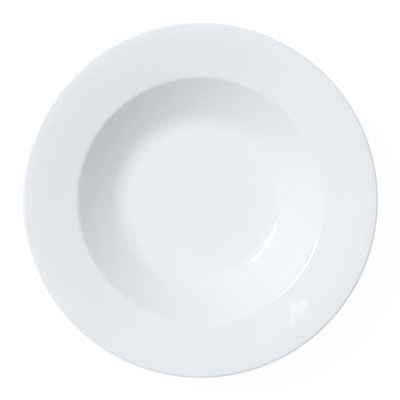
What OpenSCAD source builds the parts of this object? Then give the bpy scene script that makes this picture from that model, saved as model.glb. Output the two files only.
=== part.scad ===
// Rimmed soup plate in glazed porcelain.
//
// The plate is one fired body: a closed outline in the section plane, turned
// about the Z axis. A thin skin of glaze covers it in two stretches, because
// the land that the plate stands on is wiped bare before firing: one from the
// middle of the well, round the lip and down the outside to the foot ring, and
// one over the base inside the foot ring.
//
// An outline is a chain of corners. Each corner is [[radius, height], rounding],
// and the straight edges between corners meet in an arc of that rounding.
// A chain runs with the air on its left, so moving it to the left thickens it.

/* [Plate] */
// Outside diameter, over the glazed lip
plate_d = 240; // [225:1:270]
// Diameter of the brink, where the lines of the rim and the well wall cross
well_d = 166.7; // [150:1:180]
// Diameter at which the lines of the well wall and the floor cross
floor_d = 112; // [100:1:124]
// Depth of the well, from the brink down to the glazed floor
well_depth = 29.5; // [24:0.5:38]

/* [Well] */
// Radius of the cove between the floor and the well wall, over the glaze
cove_r = 21; // [14:0.5:28]
// How far the middle of the wall lies behind the straight line from the floor to the brink
wall_sag = 1.5; // [0:0.1:2]
// Radius of the bend in the middle of the wall, over the glaze
wall_bend_r = 140; // [60:10:180]
// Radius of the rounded brink between the well wall and the rim, over the glaze
brink_r = 4.8; // [3:0.1:8]

/* [Rim] */
// Slope of the rim next to the brink, in degrees
rim_slope = 15.5; // [8:0.5:18]
// Slope of the rim in its outer part, in degrees
flare_slope = 12; // [6:0.5:14]
// Slope just inside the lip, in degrees
lip_slope = 4; // [0:0.5:6]
// Distance from the outside of the plate in to the middle of the rim's long bend
flare_in = 14.6; // [12:0.1:18]
// Radius of the long bend
flare_r = 150; // [80:10:200]
// Distance from the outside of the plate in to the middle of the bend at the lip
ease_in = 6.5; // [4:0.1:8]
// Radius of the bend at the lip
ease_r = 70; // [20:5:90]

/* [Lip] */
// Height of the lip's outer edge, under the glaze and before its rounding
lip_t = 3.8; // [3:0.1:5]
// Rounding of the lip's upper edge, under the glaze
lip_top_r = 1.2; // [0.9:0.1:2.2]
// Rounding of the lip's lower edge, under the glaze
lip_under_r = 1.5; // [0.8:0.1:2]

/* [Body] */
// Thickness of the body in the rim, up to the long bend
rim_t = 4.4; // [3.5:0.1:6]
// Thickness of the body in the well wall
wall_t = 4.2; // [3.5:0.1:6]
// Thickness of the body in the floor
floor_t = 4.2; // [3.5:0.1:6]
// Radius of the bend in the rim's underside, below the long bend
under_r = 120; // [40:10:200]
// Radius of the hollow where the rim's underside meets the outer wall
throat_r = 9; // [5:0.5:14]
// Radius of the bend from the outer wall to the belly
belly_r = 16; // [4:1:20]
// Slope of the belly, which joins the outer wall to the foot ring, in degrees
belly_slope = 24; // [15:1:30]
// Distance from the foot ring out to where the outer wall's line meets the base
belly_w = 3.2; // [2:0.1:6]

/* [Foot ring] */
// Height of the foot ring, from the table up to the base inside it
foot_h = 3.2; // [2.5:0.1:4.5]
// Width of the foot ring at the table, before its edges are rounded
foot_w = 2.6; // [2:0.1:4]
// Lean of the foot ring's flanks from the vertical, in degrees
foot_lean = 14; // [5:1:25]
// Rounding of the foot ring's edges at the table
foot_edge_r = 0.5; // [0.2:0.05:0.7]
// Radius of the hollow between the foot ring and the belly
foot_out_r = 1.4; // [0.8:0.1:2]
// Radius of the hollow between the foot ring and the base
foot_in_r = 1.8; // [0.8:0.1:2.2]
// Height of the bare band on the foot ring's flanks, from the table
bare_h = 0.9; // [0.8:0.05:1.2]

/* [Glaze] */
// Thickness of the fired glaze
glaze_t = 0.3; // [0.15:0.05:0.4]
// Rounding of the glaze's edge where it stops on the foot ring
glaze_edge_r = 0.2; // [0.05:0.05:0.3]

/* [Hidden] */

// Sides of the turned surfaces
$fn = 180;
// Widest turn between neighbouring points of an arc in degrees, and fewest steps in an arc
arc_step = 2.5;
least_steps = 4;
// The most of an edge that the arcs at its two ends may take up
arc_share = 0.98;
// A corner that turns by less than this, in degrees, is left without an arc
least_turn = 0.01;

glaze_colour = [0.90, 0.92, 0.95];
biscuit_colour = [0.93, 0.92, 0.89];

// A direction in the section, at this many degrees above the horizontal
function heading(slope) = [cos(slope), sin(slope)];

// A direction turned a quarter turn to the left
function left_of(way) = [-way.y, way.x];

function unit(way) = way / norm(way);

function cross_of(u, v) = u.x * v.y - u.y * v.x;

function last(list) = list[len(list) - 1];

// Where the line through p along slope a crosses the line through q along slope b
function crossing(p, a, q, b) =
    p + heading(a) * cross_of(q - p, heading(b)) / cross_of(heading(a), heading(b));

// How far above the horizontal a direction points, in degrees
function slope_of(way) = atan2(way.y, way.x);

// The point of the line through p along slope a that lies at radius x, or at height z
function at_radius(p, a, x) = crossing(p, a, [x, 0], 90);
function at_height(p, a, z) = crossing(p, a, [0, z], 0);

// How far the direction turns at a chain's corner, with a left turn positive
function turn(chain, i) =
    i == 0 || i == len(chain) - 1 ? 0 :
    let (
        way_in = chain[i][0] - chain[i - 1][0],
        way_out = chain[i + 1][0] - chain[i][0]
    )
    atan2(cross_of(way_in, way_out), way_in * way_out);

// How far along its edges a corner's arc reaches
function reach(chain, i) = chain[i][1] * tan(abs(turn(chain, i)) / 2);

// The share of their roundings that the two corners of an edge have room for
function room(chain, i) =
    let (
        space = arc_share * norm(chain[i + 1][0] - chain[i][0]),
        need = reach(chain, i) + reach(chain, i + 1)
    )
    need > space ? space / need : 1;

// A chain whose roundings are cut down where two arcs would overlap on an edge
function eased(chain) = [
    for (i = [0 : len(chain) - 1])
        let (
            before = i == 0 ? 1 : room(chain, i - 1),
            after = i == len(chain) - 1 ? 1 : room(chain, i)
        )
        [chain[i][0], chain[i][1] * min(before, after)]
];

// The points of the arc that rounds a corner
function arc(chain, i) =
    let (
        here = chain[i][0],
        bend = turn(chain, i),
        way = unit(here - chain[i - 1][0]),
        start = here - way * reach(chain, i),
        out = -sign(bend) * chain[i][1] * left_of(way),
        steps = max(least_steps, ceil(abs(bend) / arc_step))
    )
    [for (k = [0 : steps])
        let (a = bend * k / steps)
        start - out + out * cos(a) + left_of(out) * sin(a)];

// The points of a chain
function rounded(chain) =
    let (fitted = eased(chain))
    [for (i = [0 : len(chain) - 1])
        each abs(turn(fitted, i)) < least_turn || fitted[i][1] == 0 ? [fitted[i][0]] : arc(fitted, i)];

// How far a corner moves when the edges with these normals each move out by 1
function miter(n_in, n_out) = (n_in + n_out) / (1 + n_in * n_out);

// A chain moved to its left, with its hollows tightened and its humps widened by as much
function raised(chain, thickness) = [
    for (i = [0 : len(chain) - 1])
        let (
            way_in = chain[max(i, 1)][0] - chain[max(i, 1) - 1][0],
            way_out = chain[min(i, len(chain) - 2) + 1][0] - chain[min(i, len(chain) - 2)][0],
            n_in = left_of(unit(way_in)),
            n_out = left_of(unit(way_out))
        )
        [
            chain[i][0] + thickness * miter(n_in, n_out),
            chain[i][1] - sign(turn(chain, i)) * thickness
        ]
];

// The closed outline of a skin that lies on a chain
function skin(chain, thickness) =
    let (
        bed = eased(chain),
        over = rounded(concat([bed[0]], raised(bed, thickness), [last(bed)])),
        under = rounded(bed)
    )
    concat(over, [for (i = [len(under) - 2 : -1 : 1]) under[i]]);

// Heights of the body's floor and of the plate's, with its glaze
floor_z = foot_h + floor_t;
glazed_floor_z = floor_z + glaze_t;

// Well wall: two lines that meet in a slight bend, set over the glaze
brink = [well_d / 2, glazed_floor_z + well_depth];
floor_edge = [floor_d / 2, glazed_floor_z];
wall_middle = (floor_edge + brink) / 2 - wall_sag * left_of(unit(brink - floor_edge));
low_slope = slope_of(wall_middle - floor_edge);
top_slope = slope_of(brink - wall_middle);
wall_miter = miter(left_of(heading(low_slope)), left_of(heading(top_slope)));

// The same corners under the glaze, and the rim
bend_corner = wall_middle - glaze_t * wall_miter;
floor_corner = at_height(bend_corner, low_slope, floor_z);
rim_start = brink - glaze_t * left_of(heading(rim_slope));
brink_corner = crossing(bend_corner, top_slope, rim_start, rim_slope);
flare_corner = at_radius(brink_corner, rim_slope, plate_d / 2 - flare_in);
ease_corner = at_radius(flare_corner, flare_slope, plate_d / 2 - ease_in);
lip_top = at_radius(ease_corner, lip_slope, plate_d / 2 - glaze_t);

// Underside of the rim and outer wall
lip_under = lip_top - [0, lip_t];
under_corner = flare_corner - rim_t * left_of(heading(rim_slope));
outer_bend = bend_corner - wall_t * wall_miter;
throat_corner = crossing(under_corner, rim_slope, outer_bend, top_slope);

// Foot ring: its flanks' feet on the table, and what leads to them
flank_out = 90 - foot_lean;
flank_in = 90 + foot_lean;
foot_root = at_height(outer_bend, low_slope, foot_h) - [belly_w, 0];
belly_corner = crossing(outer_bend, low_slope, foot_root, belly_slope);
foot_out = at_height(foot_root, flank_out, 0);
foot_in = foot_out - [foot_w, 0];
base_corner = at_height(foot_in, flank_in, foot_h);
bare_out = at_height(foot_out, flank_out, bare_h);
bare_in = at_height(foot_in, flank_in, bare_h);

// From the middle of the well, round the lip and down to the bare band
face_chain = [
    [[0, floor_z], 0],
    [floor_corner, cove_r + glaze_t],
    [bend_corner, wall_bend_r + glaze_t],
    [brink_corner, brink_r - glaze_t],
    [flare_corner, flare_r],
    [ease_corner, ease_r],
    [lip_top, lip_top_r],
    [lip_under, lip_under_r],
    [under_corner, under_r],
    [throat_corner, throat_r],
    [outer_bend, wall_bend_r + glaze_t + wall_t],
    [belly_corner, belly_r],
    [foot_root, foot_out_r],
    [bare_out, glaze_edge_r]
];

// The bare land of the foot ring
land_chain = [
    [foot_out, foot_edge_r],
    [foot_in, foot_edge_r]
];

// From the bare band to the middle of the base
base_chain = [
    [bare_in, glaze_edge_r],
    [base_corner, foot_in_r],
    [[0, foot_h], 0]
];

// The fired porcelain: rim, well, floor and foot ring in one piece
module porcelain_body() {
    color(biscuit_colour)
        rotate_extrude()
            polygon(rounded(concat(face_chain, land_chain, base_chain)));
}

// The glaze on the well, the rim and the outside, down to the foot ring
module face_glaze() {
    color(glaze_colour)
        rotate_extrude()
            polygon(skin(face_chain, glaze_t));
}

// The glaze on the base, inside the foot ring
module base_glaze() {
    color(glaze_colour)
        rotate_extrude()
            polygon(skin(base_chain, glaze_t));
}

porcelain_body();
face_glaze();
base_glaze();
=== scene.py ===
import math

import bpy
from bpy.props import FloatProperty, FloatVectorProperty, IntProperty, PointerProperty
from bpy.types import Operator, Panel, PropertyGroup
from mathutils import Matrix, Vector, noise


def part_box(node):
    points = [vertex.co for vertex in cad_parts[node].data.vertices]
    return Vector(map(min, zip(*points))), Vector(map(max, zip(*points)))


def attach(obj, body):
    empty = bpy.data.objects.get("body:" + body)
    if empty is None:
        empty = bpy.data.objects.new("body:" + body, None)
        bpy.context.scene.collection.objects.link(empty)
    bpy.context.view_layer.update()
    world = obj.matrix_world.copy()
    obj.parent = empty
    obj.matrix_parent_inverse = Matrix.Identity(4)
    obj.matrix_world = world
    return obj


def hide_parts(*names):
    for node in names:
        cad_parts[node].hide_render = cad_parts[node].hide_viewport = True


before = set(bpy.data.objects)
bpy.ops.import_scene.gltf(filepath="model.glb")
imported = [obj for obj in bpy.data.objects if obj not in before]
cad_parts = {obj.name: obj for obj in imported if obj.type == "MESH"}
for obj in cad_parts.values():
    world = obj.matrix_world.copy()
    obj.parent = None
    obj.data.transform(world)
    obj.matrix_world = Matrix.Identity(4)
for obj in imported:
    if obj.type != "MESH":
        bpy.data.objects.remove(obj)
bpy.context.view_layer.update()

bl_info = {
    "name": "Rimmed Soup Plate",
    "version": (1, 0, 0),
    "blender": (4, 5, 0),
    "location": "View3D > Sidebar > Soup Plate",
    "description": "A rimmed soup plate in glazed porcelain, with its fired surface and its studio",
    "category": "Add Mesh",
}

# Dull patches in the rim's glaze: the middle's X and Y, the half sizes along X and Y, and the strength
HAZES = (
    (0.0668, -0.0735, 0.0115, 0.0150, 0.62),
    (0.0621, -0.0795, 0.0040, 0.0140, 0.45),
    (0.0614, -0.0788, 0.0040, 0.0016, 0.45),
    (0.0627, -0.0764, 0.0022, 0.0036, 0.45),
    (0.0631, -0.0716, 0.0024, 0.0026, 0.40),
    (0.0617, -0.0825, 0.0026, 0.0044, 0.55),
    (0.0697, -0.0690, 0.0034, 0.0034, 0.45),
    (0.0712, -0.0727, 0.0036, 0.0080, 0.38),
)

# The photograph's frame, and the plate's place in it, in pixels
PHOTO_SIDE_PX = 400
PHOTO_LIP_RADIUS_PX = 177.7
PHOTO_CENTRE_PX = (200.3, 200.3)

# The most of an edge that the arcs at its two ends may take up
ARC_SHARE = 0.98

# A corner that turns by less than this is left without an arc
LEAST_TURN = math.radians(0.01)

# A point that is closer to the axis than this lies on it
AXIS_R = 1e-7

# A spacing so wide that a straight stretch stays in one piece
UNDIVIDED = 1000.0

# How far upwards a surface faces, from 0 to 1, where the dull patches start and where they are whole
FACE_SHARES = (0.0, 0.5)

# The mean of a noise, and the values of it between which clouds and scuffs set in
NOISE_MIDDLE = 0.5
CLOUD_SHARES = (0.35, 0.65)
SCUFF_SHARES = (0.5, 0.7)

# Finer layers in the noise of the scuffs and of the grain
SCUFF_LAYERS = 4.0
GRAIN_LAYERS = 3.0

# Refractive index of the porcelain and of its glaze
REFRACTION = 1.5

WHITE = (1.0, 1.0, 1.0, 1.0)


def length(name, description, default):
    return FloatProperty(
        name=name, description=description, default=default, min=0.0, precision=5,
        unit="LENGTH", subtype="DISTANCE",
    )


def angle(name, description, degrees):
    return FloatProperty(
        name=name, description=description, default=math.radians(degrees), unit="ROTATION", subtype="ANGLE"
    )


def colour(name, description, default):
    return FloatVectorProperty(
        name=name, description=description, default=default, min=0.0, max=1.0, size=4, subtype="COLOR"
    )


def share(name, description, default):
    return FloatProperty(name=name, description=description, default=default, min=0.0, subtype="FACTOR")


def brightness(name, description, default):
    return FloatProperty(name=name, description=description, default=default, min=0.0)


def narrower_side(node):
    low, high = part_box(node)
    return min(high.x - low.x, high.y - low.y)


class PlateShape(PropertyGroup):
    """Sizes of the plate's section"""

    plate_d: length("Plate", "Outside diameter over the glazed lip", narrower_side("face_glaze"))
    well_d: length("Brink", "Diameter where the lines of the rim and the well wall cross", 0.1667)
    floor_d: length("Floor", "Diameter where the lines of the well wall and the floor cross", 0.112)
    well_depth: length("Well depth", "From the brink down to the glazed floor", 0.0295)
    cove_r: length("Cove", "Radius between floor and well wall, over the glaze", 0.021)
    wall_sag: length("Wall sag", "How far the wall's middle lies behind its chord", 0.0015)
    wall_bend_r: length("Wall bend", "Radius of the bend in the middle of the wall", 0.14)
    brink_r: length("Brink rounding", "Radius between well wall and rim, over the glaze", 0.0048)
    rim_slope: angle("Rim slope", "Slope of the rim next to the brink", 15.5)
    flare_slope: angle("Outer rim slope", "Slope of the rim in its outer part", 12.0)
    lip_slope: angle("Lip slope", "Slope just inside the lip", 4.0)
    flare_in: length("Long bend inset", "From the outside in to the middle of the rim's long bend", 0.0146)
    flare_r: length("Long bend", "Radius of the rim's long bend", 0.15)
    ease_in: length("Lip bend inset", "From the outside in to the middle of the bend at the lip", 0.0065)
    ease_r: length("Lip bend", "Radius of the bend at the lip", 0.07)
    lip_t: length("Lip height", "Height of the lip's outer edge before its rounding", 0.0038)
    lip_top_r: length("Lip top", "Rounding of the lip's upper edge", 0.0012)
    lip_under_r: length("Lip underside", "Rounding of the lip's lower edge", 0.0015)
    rim_t: length("Rim thickness", "Thickness of the body in the rim", 0.0044)
    wall_t: length("Wall thickness", "Thickness of the body in the well wall", 0.0042)
    floor_t: length("Floor thickness", "Thickness of the body in the floor", 0.0042)
    under_r: length("Underside bend", "Radius of the bend in the rim's underside", 0.12)
    throat_r: length("Throat", "Radius of the hollow under the rim", 0.009)
    belly_r: length("Belly bend", "Radius of the bend from the outer wall to the belly", 0.016)
    belly_slope: angle("Belly slope", "Slope of the belly next to the foot ring", 24.0)
    belly_w: length("Belly", "From the foot ring out to the outer wall's line", 0.0032)
    foot_h: length("Foot height", "From the table up to the base", 0.0032)
    foot_w: length("Foot width", "Width of the foot ring at the table before rounding", 0.0026)
    foot_lean: angle("Foot lean", "Lean of the foot ring's flanks", 14.0)
    foot_out_r: length("Outer foot hollow", "Radius between foot ring and belly", 0.0014)
    foot_in_r: length("Inner foot hollow", "Radius between foot ring and base", 0.0018)
    bare_h: length("Bare band", "Height of the unglazed band on the foot ring", 0.0009)
    glaze_t: length("Glaze", "Thickness of the fired glaze", 0.0003)
    glaze_edge_r: length("Glaze edge", "Rounding of the glaze where it stops", 0.0002)


class GlazeFinish(PropertyGroup):
    """Look of the glaze, and how evenly it lies"""

    segments: IntProperty(name="Segments", description="Sides of the turned surfaces", default=270, min=12)
    spacing: length("Spacing", "Widest step along the section", 0.0016)
    arc_step: angle("Arc step", "Widest turn between points of an arc", 3.0)
    bed_step: angle("Bed step", "Widest turn between points of an arc on the hidden side", 6.0)
    crease: angle("Crease", "Least turn between faces that shows as an edge", 50.0)
    colour: colour("Glaze", "Colour of the glazed porcelain", (0.908, 0.938, 0.976, 1.0))
    cloud_colour: colour("Clouds", "Colour of the glaze where it is cloudier", (0.899, 0.936, 0.970, 1.0))
    cloud_length: length("Cloud size", "Size of the clouds", 0.04)
    thin_colour: colour("Thin glaze", "Colour where the glaze runs thin", (0.79, 0.765, 0.72, 1.0))
    thin_w: length("Thin edge", "Width of the thin glaze next to the bare band", 0.0014)
    wave_h: length("Wiped edge", "How far the thin glaze's edge wanders up and down", 0.0020)
    wave_length: length("Wiped edge waves", "Size of its waves", 0.006)
    speck_colour: colour("Specks", "Colour of the specks in the glaze", (0.50, 0.48, 0.47, 1.0))
    roughness: share("Roughness", "Mean roughness of the glaze", 0.045)
    gloss_change: share("Gloss change", "Share by which the roughness changes over the plate", 0.5)
    gloss_length: length("Gloss patches", "Size of the glossier and duller patches", 0.03)
    haze: share("Haze", "Roughness that a full patch of haze adds to the glaze", 0.28)
    ripple_depth: length("Ripple depth", "Most that the glaze sinks in its ripples", 0.00003)
    ripple_length: length("Ripple length", "Size of the ripples", 0.02)
    peel_depth: length("Peel depth", "Depth of the fine unevenness of the glaze", 0.000004)
    peel_length: length("Peel length", "Size of the fine unevenness", 0.003)
    speck_spacing: length("Speck spacing", "Mean distance between specks", 0.017)
    speck_r: length("Speck radius", "Radius of a speck", 0.00022)
    speck_core: share("Speck core", "Share of a speck's radius that is evenly dark", 0.5)


class BiscuitFinish(PropertyGroup):
    """Look of the bare porcelain on the foot ring"""

    colour: colour("Biscuit", "Colour of the bare porcelain", (0.80, 0.77, 0.72, 1.0))
    scuff_colour: colour("Scuffs", "Colour of the marks where the plate has stood", (0.52, 0.50, 0.48, 1.0))
    scuff_h: length("Scuff height", "Height over the table at which the marks have ended", 0.0003)
    scuff_length: length("Scuff size", "Size of the marks", 0.006)
    scuff_strength: share("Scuff strength", "How far the marks hide the bare porcelain", 0.7)
    roughness: share("Roughness", "Roughness of the bare porcelain", 0.7)
    grain_depth: length("Grain depth", "Depth of the grain", 0.00003)
    grain_length: length("Grain size", "Size of the grain", 0.0004)


class StudioSetup(PropertyGroup):
    """Camera, lamp, surroundings and floor"""

    camera_height: length("Camera height", "Height of the camera over the table", 1.5)
    lamp_distance: length("Lamp distance", "Distance of the softbox from the middle of the plate", 3.0)
    lamp_azimuth: angle("Lamp azimuth", "Direction of the softbox, turned from +X towards +Y", 146.0)
    lamp_zenith: angle("Lamp zenith", "Angle of the softbox from straight above", 37.0)
    lamp_w: length("Lamp width", "Level side of the softbox", 1.0)
    lamp_h: length("Lamp height", "Sloping side of the softbox", 0.54)
    lamp_strength: brightness("Lamp strength", "Light that leaves the softbox, with white as 1", 26.0)
    room_light: brightness("Room", "Light of the room on all sides", 0.31)
    fill_light: brightness("Fill", "Light of the middle of each of the two white screens", 0.38)
    fill_azimuth: angle("Fill azimuth", "Direction of one screen, with the other opposite it", 45.0)
    fill_zenith: angle("Fill zenith", "Angle of the screens' middles from straight above", 60.0)
    fill_reach: angle("Fill reach", "Angle from its middle at which a screen has faded out", 60.0)
    floor_colour: colour("Floor", "Colour of the floor", (0.88, 0.89, 0.90, 1.0))
    floor_side: length("Floor side", "Side of the square floor", 6.0)
    floor_white: share("Floor white", "How much of the floor that the camera sees is plain white", 0.92)
    floor_glow: brightness("Floor glow", "Brightness of that plain white", 1.04)


def heading(slope):
    return Vector((math.cos(slope), math.sin(slope)))


def left_of(way):
    return Vector((-way.y, way.x))


def cross_of(u, v):
    return u.x * v.y - u.y * v.x


def skyward(azimuth, zenith):
    level = math.sin(zenith)
    return Vector((level * math.cos(azimuth), level * math.sin(azimuth), math.cos(zenith)))


def slope_of(way):
    return math.atan2(way.y, way.x)


def miter(n_in, n_out):
    """How far a corner moves when the edges with these normals each move out by 1."""
    return (n_in + n_out) / (1 + n_in.dot(n_out))


def crossing(p, slope_p, q, slope_q):
    """Where the line through p crosses the line through q."""
    u = heading(slope_p)
    v = heading(slope_q)
    return p + u * cross_of(q - p, v) / cross_of(u, v)


def at_radius(p, slope, radius):
    return crossing(p, slope, Vector((radius, 0.0)), math.pi / 2)


def at_height(p, slope, height):
    return crossing(p, slope, Vector((0.0, height)), 0.0)


def turn(chain, i):
    """How far a chain of (place, rounding) turns at a corner, with a left turn positive."""
    if i in (0, len(chain) - 1):
        return 0.0
    way_in = chain[i][0] - chain[i - 1][0]
    way_out = chain[i + 1][0] - chain[i][0]
    return math.atan2(cross_of(way_in, way_out), way_in.dot(way_out))


def reach(chain, i):
    """How far along its edges a corner's arc reaches."""
    return chain[i][1] * math.tan(abs(turn(chain, i)) / 2)


def eased(chain):
    """A chain whose roundings are cut down where two arcs would overlap on an edge."""
    parts = [1.0] * len(chain)
    for i in range(len(chain) - 1):
        space = ARC_SHARE * (chain[i + 1][0] - chain[i][0]).length
        need = reach(chain, i) + reach(chain, i + 1)
        if need > space:
            parts[i] = min(parts[i], space / need)
            parts[i + 1] = min(parts[i + 1], space / need)
    return [(place, rounding * part) for (place, rounding), part in zip(chain, parts)]


def arc(chain, i, step, spacing):
    """Points of the arc that rounds a corner."""
    here, rounding = chain[i]
    bend = turn(chain, i)
    way = (here - chain[i - 1][0]).normalized()
    start = here - way * rounding * math.tan(abs(bend) / 2)
    out = -math.copysign(rounding, bend) * left_of(way)
    steps = max(math.ceil(abs(bend) / step), math.ceil(abs(bend) * rounding / spacing))
    centre = start - out
    return [
        centre + out * math.cos(bend * k / steps) + left_of(out) * math.sin(bend * k / steps)
        for k in range(steps + 1)
    ]


def rounded(chain, step, spacing):
    """Points of a chain, with its arcs and with long straight stretches divided."""
    points = []
    fitted = eased(chain)
    for i, (here, rounding) in enumerate(fitted):
        straight = abs(turn(fitted, i)) < LEAST_TURN or rounding == 0.0
        corner = [here] if straight else arc(fitted, i, step, spacing)
        if points:
            gap = corner[0] - points[-1]
            parts = math.ceil(gap.length / spacing)
            points += [points[-1] + gap * k / parts for k in range(1, parts)]
        points += corner
    return points


def raised(chain, thickness):
    """A chain moved to its left, with hollows tightened and humps widened by as much."""
    moved = []
    end = len(chain) - 1
    for i, (here, rounding) in enumerate(chain):
        first = max(i, 1)
        then = min(i, end - 1)
        n_in = left_of((chain[first][0] - chain[first - 1][0]).normalized())
        n_out = left_of((chain[then + 1][0] - chain[then][0]).normalized())
        place = here + thickness * miter(n_in, n_out)
        bend = turn(chain, i)
        change = math.copysign(thickness, bend) if bend else 0.0
        moved.append((place, rounding - change))
    return moved


def plate_chains(shape):
    """The body's outline under its two glazes, as chains of corners."""
    floor_z = shape.foot_h + shape.floor_t
    brink = Vector((shape.well_d / 2, floor_z + shape.glaze_t + shape.well_depth))
    floor_edge = Vector((shape.floor_d / 2, floor_z + shape.glaze_t))
    wall_middle = (floor_edge + brink) / 2 - shape.wall_sag * left_of((brink - floor_edge).normalized())
    low_slope = slope_of(wall_middle - floor_edge)
    top_slope = slope_of(brink - wall_middle)
    wall_miter = miter(left_of(heading(low_slope)), left_of(heading(top_slope)))
    bend_corner = wall_middle - shape.glaze_t * wall_miter
    floor_corner = at_height(bend_corner, low_slope, floor_z)
    rim_start = brink - shape.glaze_t * left_of(heading(shape.rim_slope))
    brink_corner = crossing(bend_corner, top_slope, rim_start, shape.rim_slope)
    flare_corner = at_radius(brink_corner, shape.rim_slope, shape.plate_d / 2 - shape.flare_in)
    ease_corner = at_radius(flare_corner, shape.flare_slope, shape.plate_d / 2 - shape.ease_in)
    lip_top = at_radius(ease_corner, shape.lip_slope, shape.plate_d / 2 - shape.glaze_t)
    lip_under = lip_top - Vector((0.0, shape.lip_t))
    under_corner = flare_corner - shape.rim_t * left_of(heading(shape.rim_slope))
    outer_bend = bend_corner - shape.wall_t * wall_miter
    throat_corner = crossing(under_corner, shape.rim_slope, outer_bend, top_slope)
    flank_out = math.pi / 2 - shape.foot_lean
    flank_in = math.pi / 2 + shape.foot_lean
    foot_root = at_height(outer_bend, low_slope, shape.foot_h) - Vector((shape.belly_w, 0.0))
    belly_corner = crossing(outer_bend, low_slope, foot_root, shape.belly_slope)
    foot_out = at_height(foot_root, flank_out, 0.0)
    foot_in = foot_out - Vector((shape.foot_w, 0.0))
    face = [
        (Vector((0.0, floor_z)), 0.0),
        (floor_corner, shape.cove_r + shape.glaze_t),
        (bend_corner, shape.wall_bend_r + shape.glaze_t),
        (brink_corner, shape.brink_r - shape.glaze_t),
        (flare_corner, shape.flare_r),
        (ease_corner, shape.ease_r),
        (lip_top, shape.lip_top_r),
        (lip_under, shape.lip_under_r),
        (under_corner, shape.under_r),
        (throat_corner, shape.throat_r),
        (outer_bend, shape.wall_bend_r + shape.glaze_t + shape.wall_t),
        (belly_corner, shape.belly_r),
        (foot_root, shape.foot_out_r),
        (at_height(foot_out, flank_out, shape.bare_h), shape.glaze_edge_r),
    ]
    base = [
        (at_height(foot_in, flank_in, shape.bare_h), shape.glaze_edge_r),
        (at_height(foot_in, flank_in, shape.foot_h), shape.foot_in_r),
        (Vector((0.0, shape.foot_h)), 0.0),
    ]
    return eased(face), eased(base)


def with_normals(points, free):
    """Each point with its outward direction and whether it may ripple."""
    rows = []
    end = len(points) - 1
    for i, point in enumerate(points):
        way = points[min(i + 1, end)] - points[max(i - 1, 0)]
        rows.append((point, left_of(way.normalized()), free))
    return rows


def turned(name, section, finish):
    """A closed mesh: a section that starts and ends on the axis, turned about Z."""
    vertices = []
    rings = []
    for point, normal, free in section:
        on_axis = point.x < AXIS_R
        ring = []
        for j in range(1 if on_axis else finish.segments):
            about = math.tau * j / finish.segments
            radial = Vector((math.cos(about), math.sin(about), 0.0))
            place = radial * point.x + Vector((0.0, 0.0, point.y))
            if free:
                outward = radial * (0.0 if on_axis else normal.x) + Vector((0.0, 0.0, normal.y))
                place -= outward * glaze_sink(finish, place)
            ring.append(len(vertices))
            vertices.append(place)
        rings.append(ring * finish.segments if on_axis else ring)
    faces = []
    for inner, outer in zip(rings, rings[1:]):
        for j in range(finish.segments):
            k = (j + 1) % finish.segments
            corners = [inner[j], outer[j], outer[k], inner[k]]
            faces.append([c for n, c in enumerate(corners) if c not in corners[:n]])
    mesh = bpy.data.meshes.new(name)
    mesh.from_pydata(vertices, [], faces)
    mesh.shade_smooth()
    mesh.set_sharp_from_angle(angle=finish.crease)
    piece = bpy.data.objects.new(name, mesh)
    bpy.context.scene.collection.objects.link(piece)
    return piece


def glaze_sink(finish, place):
    """How far the glaze lies below its even surface."""
    ripple = noise.noise(place / finish.ripple_length)
    return finish.ripple_depth * (1 + ripple) / 2


class Signal:
    """A shader socket that can be reckoned with: each operation adds its Math node."""

    def __init__(self, graph, socket):
        self.graph = graph
        self.socket = socket

    def math(self, operation, first, second):
        return self.graph.node("ShaderNodeMath", {"operation": operation}, {0: first, 1: second})

    def __add__(self, other):
        return self.math("ADD", self, other)

    def __radd__(self, other):
        return self.math("ADD", other, self)

    def __sub__(self, other):
        return self.math("SUBTRACT", self, other)

    def __rsub__(self, other):
        return self.math("SUBTRACT", other, self)

    def __mul__(self, other):
        return self.math("MULTIPLY", self, other)

    def __rmul__(self, other):
        return self.math("MULTIPLY", other, self)


class Graph:
    """The emptied node tree of a material or a world."""

    def __init__(self, owner):
        owner.use_nodes = True
        self.tree = owner.node_tree
        self.tree.nodes.clear()

    def node(self, kind, settings=None, inputs=None, output=0):
        node = self.tree.nodes.new(kind)
        for name, value in (settings or {}).items():
            setattr(node, name, value)
        for key, value in (inputs or {}).items():
            if isinstance(value, Signal):
                self.tree.links.new(value.socket, node.inputs[key])
            else:
                node.inputs[key].default_value = value
        return Signal(self, node.outputs[output]) if node.outputs else None

    def mix(self, factor, first, second):
        """Two colours mixed. The node's colours go in at its sockets 6 and 7 and come out at 2."""
        return self.node("ShaderNodeMix", {"data_type": "RGBA"}, {0: factor, 6: first, 7: second}, 2)

    def fade(self, value, start, end):
        """0 before start and 1 after end, with a smooth step between."""
        inputs = {"Value": value, "From Min": start, "From Max": end}
        return self.node("ShaderNodeMapRange", {"interpolation_type": "SMOOTHSTEP"}, inputs)

    def noise(self, place, size, layers=2.0):
        return self.node("ShaderNodeTexNoise", {}, {"Vector": place, "Scale": 1 / size, "Detail": layers})

    def bump(self, height, depth):
        return self.node("ShaderNodeBump", {}, {"Strength": 1.0, "Distance": depth, "Height": height})


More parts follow.
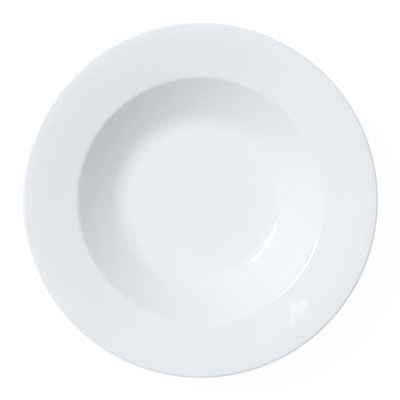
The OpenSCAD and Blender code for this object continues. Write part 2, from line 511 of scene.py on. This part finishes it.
def glaze_material(shape, finish):
    """White porcelain seen through its clear glaze, with a few specks under it."""
    material = bpy.data.materials.new("porcelain_glaze")
    graph = Graph(material)
    place = graph.node("ShaderNodeTexCoord", output="Object")
    height = graph.node("ShaderNodeSeparateXYZ", {}, {0: place}, "Z")
    outward = graph.node("ShaderNodeTexCoord", output="Normal")
    face_up = graph.fade(graph.node("ShaderNodeSeparateXYZ", {}, {0: outward}, "Z"), *FACE_SHARES)
    wave = finish.wave_h * graph.noise(place, finish.wave_length)
    thin = 1 - graph.fade(height - wave, shape.bare_h - finish.wave_h / 2, shape.bare_h + finish.thin_w)
    cells = graph.node("ShaderNodeTexVoronoi", {}, {"Vector": place, "Scale": 1 / finish.speck_spacing})
    speck_edge = finish.speck_r / finish.speck_spacing
    speck = 1 - graph.fade(cells, speck_edge * finish.speck_core, speck_edge)
    cloud = graph.fade(graph.noise(place, finish.cloud_length), *CLOUD_SHARES)
    colour = graph.mix(cloud, finish.colour, finish.cloud_colour)
    colour = graph.mix(thin, colour, finish.thin_colour)
    colour = graph.mix(speck, colour, finish.speck_colour)
    haze = 0.0
    for middle_x, middle_y, half_x, half_y, strength in HAZES:
        ends = {0: place, 1: (middle_x, middle_y, 0.0)}
        offset = graph.node("ShaderNodeVectorMath", {"operation": "SUBTRACT"}, ends)
        scaling = {0: offset, 1: (1 / half_x, 1 / half_y, 0.0)}
        spread = graph.node("ShaderNodeVectorMath", {"operation": "MULTIPLY"}, scaling)
        far = graph.node("ShaderNodeVectorMath", {"operation": "LENGTH"}, {0: spread}, "Value")
        haze = haze + strength * (1 - graph.fade(far, 0.0, 1.0))
    gloss = 1 + finish.gloss_change * (graph.noise(place, finish.gloss_length) - NOISE_MIDDLE)
    roughness = finish.roughness * gloss + finish.haze * haze * face_up
    peel = graph.bump(graph.noise(place, finish.peel_length), finish.peel_depth)
    inputs = {"Base Color": colour, "Roughness": roughness, "IOR": REFRACTION, "Normal": peel}
    surface = graph.node("ShaderNodeBsdfPrincipled", {}, inputs)
    graph.node("ShaderNodeOutputMaterial", {}, {"Surface": surface})
    return material


def biscuit_material(finish):
    """Bare fired porcelain: matt and finely grained, scuffed where the plate stands."""
    material = bpy.data.materials.new("bare_porcelain")
    graph = Graph(material)
    place = graph.node("ShaderNodeTexCoord", output="Object")
    height = graph.node("ShaderNodeSeparateXYZ", {}, {0: place}, "Z")
    land = 1 - graph.fade(height, 0.0, finish.scuff_h)
    marks = graph.fade(graph.noise(place, finish.scuff_length, SCUFF_LAYERS), *SCUFF_SHARES)
    colour = graph.mix(land * marks * finish.scuff_strength, finish.colour, finish.scuff_colour)
    grain = graph.bump(graph.noise(place, finish.grain_length, GRAIN_LAYERS), finish.grain_depth)
    inputs = {"Base Color": colour, "Roughness": finish.roughness, "IOR": REFRACTION, "Normal": grain}
    surface = graph.node("ShaderNodeBsdfPrincipled", {}, inputs)
    graph.node("ShaderNodeOutputMaterial", {}, {"Surface": surface})
    return material


def looked_at(graph):
    """1 where the camera looks, also by way of a gloss or through a glass, else 0."""
    rays = ("Is Camera Ray", "Is Glossy Ray", "Is Transmission Ray")
    camera, glossy, through = (graph.node("ShaderNodeLightPath", output=ray) for ray in rays)
    return camera + glossy + through


def floor_material(studio):
    """A pale floor that the camera sees as white, with the plate's soft shadow on it."""
    material = bpy.data.materials.new("studio_floor")
    graph = Graph(material)
    paint = graph.node("ShaderNodeBsdfDiffuse", {}, {"Color": studio.floor_colour})
    white = graph.node("ShaderNodeEmission", {}, {"Strength": studio.floor_glow})
    seen = looked_at(graph) * studio.floor_white
    surface = graph.node("ShaderNodeMixShader", {}, {0: seen, 1: paint, 2: white})
    graph.node("ShaderNodeOutputMaterial", {}, {"Surface": surface})
    return material


def dress(piece, material, nodes):
    piece.data.materials.append(material)
    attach(piece, "root")
    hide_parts(*nodes)


class SOUPPLATE_OT_body(Operator):
    """Gives the porcelain body its bare fired surface"""

    bl_idname = "soupplate.body"
    bl_label = "Porcelain Body"

    def execute(self, context):
        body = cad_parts["porcelain_body"]
        body.data.materials.clear()
        body.data.materials.append(biscuit_material(context.scene.plate_biscuit))
        return {"FINISHED"}


class SOUPPLATE_OT_face_glaze(Operator):
    """Lays the glaze over the face, round the lip and down to the foot ring"""

    bl_idname = "soupplate.face_glaze"
    bl_label = "Face Glaze"

    def execute(self, context):
        shape = context.scene.plate_shape
        finish = context.scene.plate_glaze
        bed = plate_chains(shape)[0]
        over = [bed[0]] + raised(bed, shape.glaze_t) + [bed[-1]]
        top = rounded(over, finish.arc_step, finish.spacing)[1:]
        under = rounded(bed, finish.bed_step, UNDIVIDED)[-2::-1]
        section = with_normals(top[:-1], True) + with_normals(top[-1:] + under, False)
        piece = turned("face_glaze_skin", section, finish)
        dress(piece, glaze_material(shape, finish), ["face_glaze"])
        return {"FINISHED"}


class SOUPPLATE_OT_base_glaze(Operator):
    """Lays the glaze over the base inside the foot ring"""

    bl_idname = "soupplate.base_glaze"
    bl_label = "Base Glaze"

    def execute(self, context):
        shape = context.scene.plate_shape
        finish = context.scene.plate_glaze
        bed = plate_chains(shape)[1]
        over = [bed[0]] + raised(bed, shape.glaze_t)
        under = rounded(bed, finish.bed_step, UNDIVIDED)[::-1]
        lower = rounded(over, finish.arc_step, finish.spacing)[1:]
        section = with_normals(under, False) + with_normals(lower, True)
        piece = turned("base_glaze_skin", section, finish)
        dress(piece, glaze_material(shape, finish), ["base_glaze"])
        return {"FINISHED"}


class SOUPPLATE_OT_studio(Operator):
    """Sets up the floor, the softbox, the white surroundings and the camera overhead"""

    bl_idname = "soupplate.studio"
    bl_label = "Studio"

    def execute(self, context):
        scene = context.scene
        scene.view_settings.view_transform = "Standard"
        self.lay_floor(scene, scene.plate_studio)
        self.light_surroundings(scene, scene.plate_studio)
        self.hang_lamp(scene, scene.plate_studio)
        self.set_camera(scene, scene.plate_studio, scene.plate_shape)
        return {"FINISHED"}

    def lay_floor(self, scene, studio):
        half = studio.floor_side / 2
        mesh = bpy.data.meshes.new("floor")
        corners = [(-half, -half, 0), (half, -half, 0), (half, half, 0), (-half, half, 0)]
        mesh.from_pydata(corners, [], [(0, 1, 2, 3)])
        floor = bpy.data.objects.new("floor", mesh)
        mesh.materials.append(floor_material(studio))
        scene.collection.objects.link(floor)

    def light_surroundings(self, scene, studio):
        scene.world = bpy.data.worlds.new("white_room")
        graph = Graph(scene.world)
        way = graph.node("ShaderNodeTexCoord", output="Generated")
        light = studio.room_light
        for round_by in (0.0, math.pi):
            middle = skyward(studio.fill_azimuth + round_by, studio.fill_zenith)
            ways = {0: way, 1: middle}
            facing = graph.node("ShaderNodeVectorMath", {"operation": "DOT_PRODUCT"}, ways, "Value")
            light = light + studio.fill_light * graph.fade(facing, math.cos(studio.fill_reach), 1.0)
        room = graph.node("ShaderNodeBackground", {}, {"Color": WHITE, "Strength": light})
        white = graph.node("ShaderNodeBackground", {}, {"Color": WHITE, "Strength": 1.0})
        surface = graph.node("ShaderNodeMixShader", {}, {0: looked_at(graph), 1: room, 2: white})
        graph.node("ShaderNodeOutputWorld", {}, {"Surface": surface})

    def hang_lamp(self, scene, studio):
        lamp = bpy.data.lights.new("softbox", "AREA")
        lamp.shape = "RECTANGLE"
        lamp.size = studio.lamp_w
        lamp.size_y = studio.lamp_h
        lamp.energy = studio.lamp_strength * math.pi * studio.lamp_w * studio.lamp_h
        holder = bpy.data.objects.new("softbox", lamp)
        way = skyward(studio.lamp_azimuth, studio.lamp_zenith)
        holder.location = way * studio.lamp_distance
        holder.rotation_euler = way.to_track_quat("Z", "Y").to_euler()
        scene.collection.objects.link(holder)

    def set_camera(self, scene, studio, shape):
        camera = bpy.data.cameras.new("overhead")
        lip_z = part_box("face_glaze")[1].z
        lip_share = PHOTO_LIP_RADIUS_PX / PHOTO_SIDE_PX
        camera.lens = camera.sensor_width * lip_share * (studio.camera_height - lip_z) / (shape.plate_d / 2)
        camera.shift_x = 0.5 - PHOTO_CENTRE_PX[0] / PHOTO_SIDE_PX
        camera.shift_y = PHOTO_CENTRE_PX[1] / PHOTO_SIDE_PX - 0.5
        holder = bpy.data.objects.new("overhead", camera)
        holder.location = (0.0, 0.0, studio.camera_height)
        scene.collection.objects.link(holder)
        scene.camera = holder


class SOUPPLATE_PT_panel(Panel):
    """Sizes, finishes and pieces of the soup plate"""

    bl_idname = "SOUPPLATE_PT_panel"
    bl_label = "Soup Plate"
    bl_space_type = "VIEW_3D"
    bl_region_type = "UI"
    bl_category = "Soup Plate"

    def draw(self, context):
        for group in (getattr(context.scene, name) for name in GROUPS):
            box = self.layout.box()
            for name in group.__annotations__:
                box.prop(group, name)
        for operator in OPERATORS:
            self.layout.operator(operator.bl_idname)


GROUPS = {
    "plate_shape": PlateShape,
    "plate_glaze": GlazeFinish,
    "plate_biscuit": BiscuitFinish,
    "plate_studio": StudioSetup,
}
OPERATORS = (SOUPPLATE_OT_body, SOUPPLATE_OT_face_glaze, SOUPPLATE_OT_base_glaze, SOUPPLATE_OT_studio)


def register():
    for kind in (*GROUPS.values(), *OPERATORS, SOUPPLATE_PT_panel):
        bpy.utils.register_class(kind)
    for name, kind in GROUPS.items():
        setattr(bpy.types.Scene, name, PointerProperty(type=kind))


def unregister():
    for name in GROUPS:
        delattr(bpy.types.Scene, name)
    for kind in (SOUPPLATE_PT_panel, *reversed(OPERATORS), *reversed(GROUPS.values())):
        bpy.utils.unregister_class(kind)


def main():
    register()
    bpy.ops.soupplate.body()
    bpy.ops.soupplate.face_glaze()
    bpy.ops.soupplate.base_glaze()
    bpy.ops.soupplate.studio()


if __name__ == "__main__":
    main()
